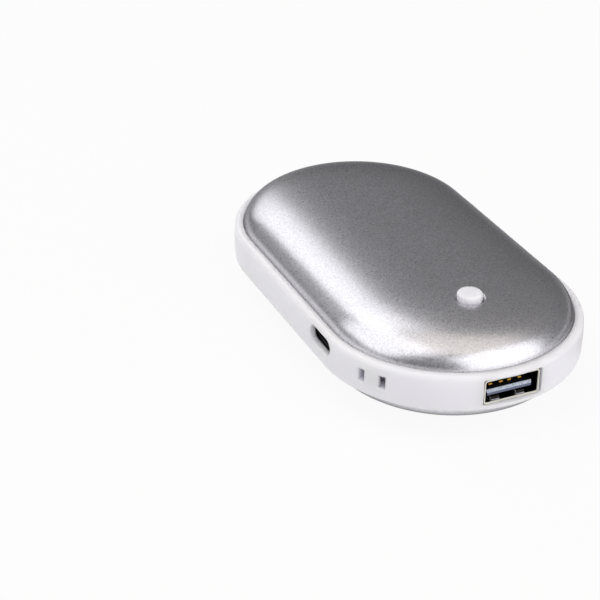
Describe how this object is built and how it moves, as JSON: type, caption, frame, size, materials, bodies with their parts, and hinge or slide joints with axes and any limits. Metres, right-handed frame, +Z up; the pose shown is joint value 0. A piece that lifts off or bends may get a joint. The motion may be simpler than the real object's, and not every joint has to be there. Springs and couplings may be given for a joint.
{
  "type": "rechargeable hand warmer",
  "caption": "Palm-sized stadium-shaped hand warmer with domed metal shells on a moulded ring frame, a push button, a charging inlet, a power outlet and cord slots.",
  "frame": {"origin": "on the surface that the warmer lies on, under the middle of its outline", "axes": "+Y along the body away from the outlet socket, +Z up out of the shell that carries the button, +X to the right seen from the outlet end"},
  "size_m": [0.06, 0.1045, 0.0241],
  "materials": {
    "aluminium_shell": "bead-blasted satin aluminium",
    "frame_plastic": "satin white moulded plastic",
    "button_plastic": "satin white moulded plastic",
    "adhesive": "cured adhesive",
    "tray_plastic": "moulded plastic",
    "screw_steel": "plated steel",
    "cell_wrap": "plastic sleeve over a steel can",
    "paper_ring": "insulating paper",
    "nickel": "nickel strip",
    "lead_red": "silicone insulation",
    "lead_black": "silicone insulation",
    "foam": "closed-cell foam",
    "heater_film": "polyimide film",
    "connector_plastic": "moulded plastic",
    "black_plastic": "moulded plastic",
    "board_laminate": "solder-masked laminate",
    "capacitor_can": "bare can",
    "led_resin": "clear resin",
    "socket_steel": "plated sheet steel",
    "tongue_plastic": "moulded plastic",
    "contact_gold": "gold-plated"
  },
  "bodies": {
    "housing": {"top_shell": "aluminium_shell", "bottom_shell": "aluminium_shell", "mid_frame": "frame_plastic", "shell_adhesive_top": "adhesive", "shell_adhesive_bottom": "adhesive", "inner_tray": "tray_plastic", "tray_screws": "screw_steel", "battery_cells": "cell_wrap", "cell_insulators": "paper_ring", "nickel_strips": "nickel", "battery_lead_red": "lead_red", "battery_lead_black": "lead_black", "foam_strips_top": "foam", "foam_strips_bottom": "foam", "heater_film_top": "heater_film", "heater_film_bottom": "heater_film", "heater_tail_top": "heater_film", "heater_tail_bottom": "heater_film", "heater_connectors": "connector_plastic", "thermistor": "black_plastic", "main_board": "board_laminate", "board_screws": "screw_steel", "control_chip": "black_plastic", "power_inductor": "black_plastic", "board_capacitors": "capacitor_can", "indicator_leds": "led_resin", "outlet_shell": "socket_steel", "outlet_tongue": "tongue_plastic", "outlet_contacts": "contact_gold", "inlet_shell": "socket_steel", "inlet_tongue": "black_plastic", "inlet_contacts": "contact_gold", "switch_body": "black_plastic", "switch_cover": "socket_steel"},
    "button": {"button_cap": "button_plastic"},
    "plunger": {"switch_plunger": "black_plastic"}
  },
  "joints": [
    {"name": "button_press", "type": "slide", "parent": "housing", "child": "button", "axis": [0, 0, -1], "range_m": [0, 0.0004], "stiffness_N_per_m": 500},
    {"name": "switch_press", "type": "slide", "parent": "housing", "child": "plunger", "axis": [0, 0, -1], "range_m": [0, 0.0004]}
  ],
  "couplings": [
    {"joint": "switch_press", "follows": "button_press", "ratio": 1}
  ]
}
